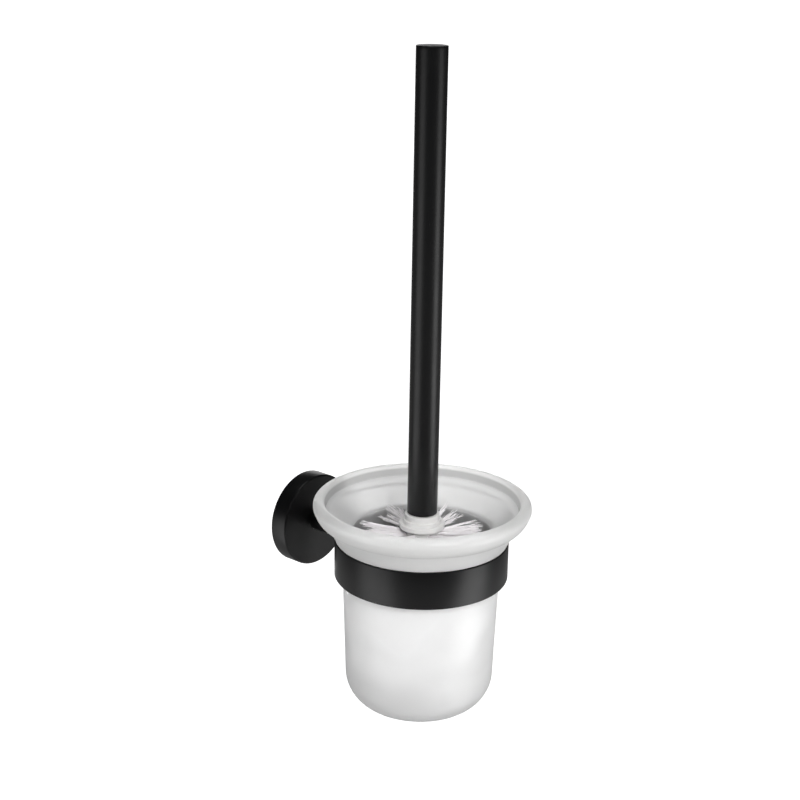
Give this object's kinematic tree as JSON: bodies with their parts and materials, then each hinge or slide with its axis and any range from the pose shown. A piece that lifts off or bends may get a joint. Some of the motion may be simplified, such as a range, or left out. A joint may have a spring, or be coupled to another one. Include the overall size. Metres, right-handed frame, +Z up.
{
  "type": "toilet brush holder",
  "caption": "Wall-mounted holder: round rosette, arm and ring carrying a frosted glass bowl, with a long-handled round brush standing in it.",
  "frame": {"origin": "centre of the rosette's back face, on the wall", "axes": "+Z up; +Y into the wall, so the bowl and brush stand off along -Y; +X to the right for someone facing the wall"},
  "size_m": [0.1246, 0.169, 0.3796],
  "materials": {
    "zinc": "raw die-cast, dull",
    "steel": "bright zinc-plated",
    "black_steel": "black oxide",
    "powder_coat": "fine satin powder coat",
    "frosted_glass": "acid-frosted",
    "polypropylene": "moulded",
    "bristle": "nylon filament"
  },
  "bodies": {
    "wall_mount": {"wall_bracket": "zinc", "wall_screw_upper": "steel", "wall_screw_lower": "steel", "rosette_cover": "powder_coat", "rosette_set_screw": "black_steel", "arm_washer": "steel", "arm_bolt": "steel", "arm_post": "powder_coat", "ring_screw": "black_steel", "holder_ring": "powder_coat"},
    "bowl": {"glass_bowl": "frosted_glass"},
    "handle": {"handle_tube": "powder_coat", "handle_cap": "powder_coat", "handle_insert": "polypropylene"},
    "brush_head": {"brush_hub": "polypropylene", "bristle_row_1": "bristle", "bristle_row_2": "bristle", "bristle_row_3": "bristle", "bristle_row_4": "bristle", "bristle_row_5": "bristle", "bristle_row_6": "bristle", "bristle_row_7": "bristle", "bristle_row_8": "bristle", "bristle_end": "bristle"}
  },
  "joints": [
    {"name": "bowl_lift", "type": "slide", "parent": "wall_mount", "child": "bowl", "axis": [0, 0, 1], "range_m": [0, 0.12]},
    {"name": "brush_lift", "type": "slide", "parent": "bowl", "child": "handle", "axis": [0, 0, 1], "range_m": [0, 0.14]},
    {"name": "head_unscrew", "type": "hinge", "parent": "handle", "child": "brush_head", "pos_m": [0, -0.094, 0.0274], "axis": [0, 0, 1], "range_deg": [0, 1800]}
  ]
}
